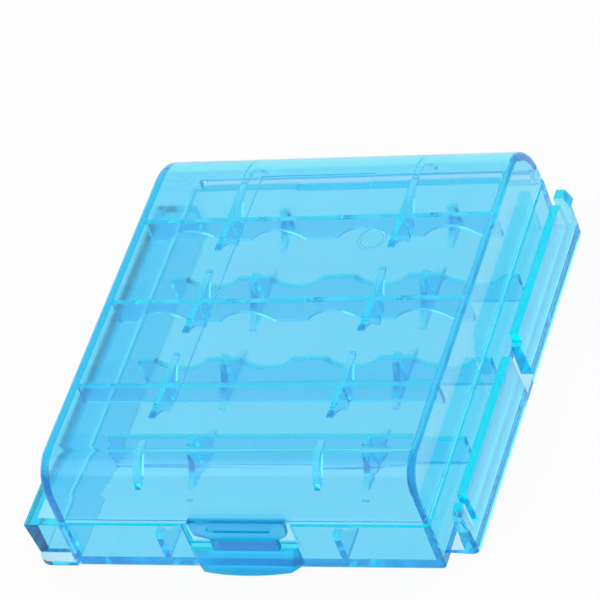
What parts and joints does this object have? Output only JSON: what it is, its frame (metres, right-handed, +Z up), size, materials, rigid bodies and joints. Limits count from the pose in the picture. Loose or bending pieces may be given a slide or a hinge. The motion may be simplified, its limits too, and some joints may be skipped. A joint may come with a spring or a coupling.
{
  "type": "snap-shut battery case",
  "caption": "Clear blue hinged plastic box with a domed lid, ribbed cell seats, a front snap tab over a thumb lip, and a rail along each side for linking boxes.",
  "frame": {"origin": "on the table, under the middle of the tray without its rails", "axes": "+Z up; -Y towards the front latch; +X to the right as the latch is faced, towards the split rail"},
  "size_m": [0.0645, 0.0686, 0.0186],
  "materials": {
    "clear_blue": "glossy, see-through",
    "hinge_web": "glossy, thin and flexible"
  },
  "bodies": {
    "base": {"base_tray": "clear_blue", "base_rib_rear": "clear_blue", "base_rib_middle": "clear_blue", "base_rib_front": "clear_blue", "base_saddles_left": "clear_blue", "base_saddles_right": "clear_blue", "latch_catch": "clear_blue", "thumb_lip": "clear_blue", "rail_floor_right": "clear_blue", "rail_wall_rear_right": "clear_blue", "rail_wall_front_right": "clear_blue", "rail_finger_right": "clear_blue", "rail_hook_right": "clear_blue", "rail_floor_left": "clear_blue", "rail_wall_left": "clear_blue", "rail_end_front_left": "clear_blue", "rail_end_rear_left": "clear_blue", "hinge_strip": "hinge_web"},
    "lid": {"lid_cover": "clear_blue", "lid_rib_rear": "clear_blue", "lid_rib_middle": "clear_blue", "lid_rib_front": "clear_blue", "lid_saddles_left": "clear_blue", "lid_saddles_right": "clear_blue"},
    "latch": {"latch_tab": "clear_blue"}
  },
  "joints": [
    {"name": "lid_hinge", "type": "hinge", "parent": "base", "child": "lid", "pos_m": [0, 0.03335, 0.0093], "axis": [-1, 0, 0], "range_deg": [0, 180], "deforming": ["hinge_strip"]},
    {"name": "latch_flex", "type": "hinge", "parent": "lid", "child": "latch", "pos_m": [0, -0.0325, 0.0098], "axis": [-1, 0, 0], "range_deg": [0, 8], "stiffness_Nm_per_rad": 0.1}
  ]
}
